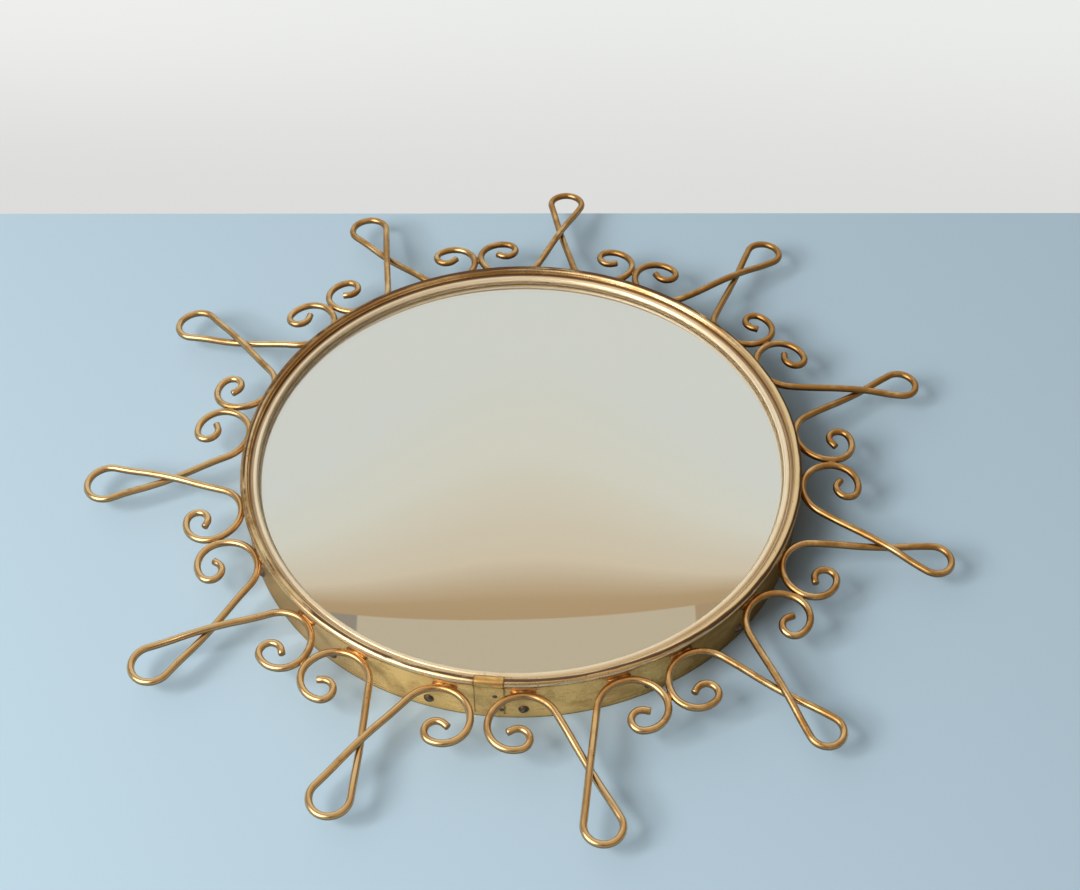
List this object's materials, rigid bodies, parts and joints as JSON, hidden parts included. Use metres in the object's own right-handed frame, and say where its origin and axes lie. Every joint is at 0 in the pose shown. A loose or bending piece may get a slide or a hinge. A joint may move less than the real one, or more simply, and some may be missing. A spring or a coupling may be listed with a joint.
{
  "type": "sunburst mirror",
  "caption": "Round convex wall mirror in a beaded brass band, ringed by bent-wire rays whose crossed loops end in scrolls, with a folding hanging loop on its wooden back.",
  "frame": {"origin": "axis of the band at its rear rim, the plane of the wall", "axes": "+Z out of the mirror's face, +Y to its top edge when it hangs, -Y to the seam of the band"},
  "size_m": [0.5434, 0.5363, 0.0502],
  "materials": {
    "band_brass": "aged, lightly tarnished",
    "bezel_brass": "pale, polished",
    "ray_brass": "aged, rubbed bright",
    "solder_brass": "dull, brazed",
    "silvered_glass": "silvered, polished",
    "strawboard": "pressed",
    "plywood": "raw, darkened",
    "dark_steel": "oxidised",
    "hanger_steel": "zinc, dull"
  },
  "bodies": {
    "mirror": {"band": "band_brass", "joint_cover": "band_brass", "joint_rivets": "band_brass", "front_bezel": "bezel_brass", "mirror_glass": "silvered_glass", "glass_packing": "strawboard", "back_board": "plywood", "band_screws": "dark_steel", "hanger_plate": "hanger_steel", "hanger_screws": "hanger_steel", "rim_solder": "solder_brass", "scroll_solder": "solder_brass", "ray_01": "ray_brass", "ray_02": "ray_brass", "ray_03": "ray_brass", "ray_04": "ray_brass", "ray_05": "ray_brass", "ray_06": "ray_brass", "ray_07": "ray_brass", "ray_08": "ray_brass", "ray_09": "ray_brass", "ray_10": "ray_brass", "ray_11": "ray_brass"},
    "hanging_loop": {"hanger_ring": "hanger_steel"}
  },
  "joints": [
    {"name": "loop_hinge", "type": "hinge", "parent": "mirror", "child": "hanging_loop", "pos_m": [0, 0.12, 0.00292], "axis": [-1, 0, 0], "range_deg": [-6.5, 170]}
  ]
}
